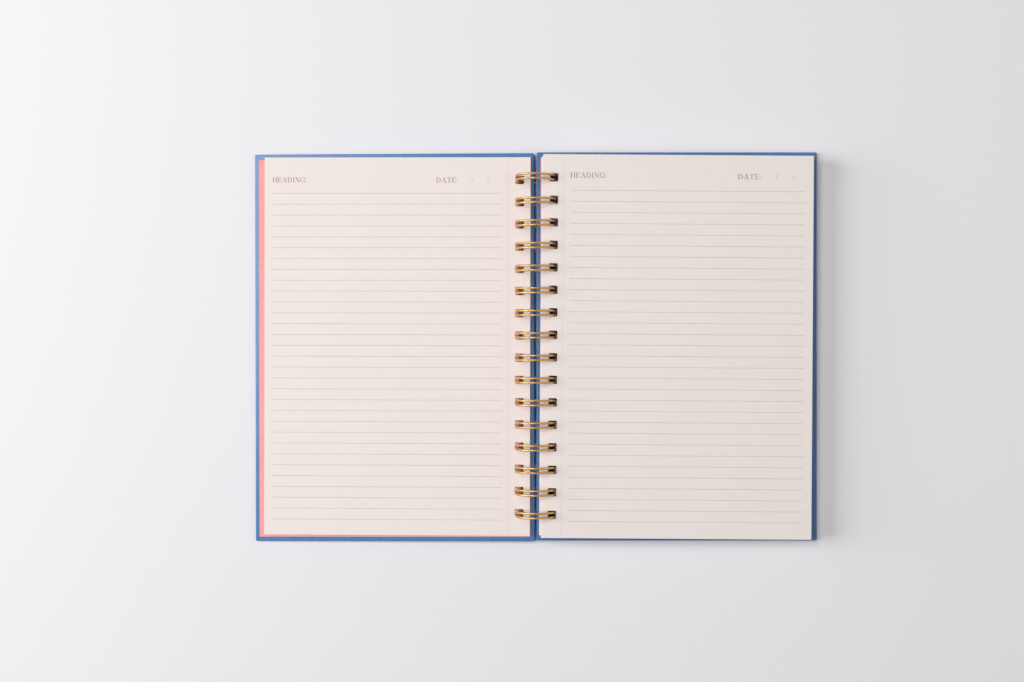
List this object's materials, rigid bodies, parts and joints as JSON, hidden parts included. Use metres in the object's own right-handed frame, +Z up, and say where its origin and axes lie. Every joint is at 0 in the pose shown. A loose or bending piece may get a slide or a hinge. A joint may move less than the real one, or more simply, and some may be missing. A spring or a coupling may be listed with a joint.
{
  "type": "wire-bound notebook",
  "caption": "Open wire-bound notebook lying flat, blue wrapped covers with coral endpapers, ruled leaves on twin-loop rings.",
  "frame": {"origin": "on the table, under the middle of the ring axis", "axes": "+X across the spine towards the right-hand page's fore edge, +Y along the spine towards the head of the page, +Z up from the table"},
  "size_m": [0.3226, 0.2232, 0.0234],
  "materials": {
    "gold_wire": "satin gold finish on formed wire",
    "blue_wrap": "matte printed wrap over greyboard",
    "coral_paper": "uncoated",
    "leaf_paper": "uncoated writing paper"
  },
  "bodies": {
    "binding": {"binding_wire": "gold_wire"},
    "front": {"front_cover": "blue_wrap", "front_endpaper": "coral_paper"},
    "turned": {"turned_leaves": "leaf_paper"},
    "back": {"back_cover": "blue_wrap", "back_endpaper": "coral_paper"},
    "block": {"page_block": "leaf_paper"}
  },
  "joints": [
    {"name": "front_cover_turn", "type": "hinge", "parent": "binding", "child": "front", "pos_m": [0, 0, 0.0117], "axis": [0, 1, 0], "range_deg": [0, 180]},
    {"name": "turned_leaves_turn", "type": "hinge", "parent": "front", "child": "turned", "pos_m": [0, 0, 0.0117], "axis": [0, 1, 0], "range_deg": [0, 180]},
    {"name": "back_cover_turn", "type": "hinge", "parent": "binding", "child": "back", "pos_m": [0, 0, 0.0117], "axis": [0, -1, 0], "range_deg": [0, 180]},
    {"name": "page_block_turn", "type": "hinge", "parent": "back", "child": "block", "pos_m": [0, 0, 0.0117], "axis": [0, -1, 0], "range_deg": [0, 180]}
  ]
}
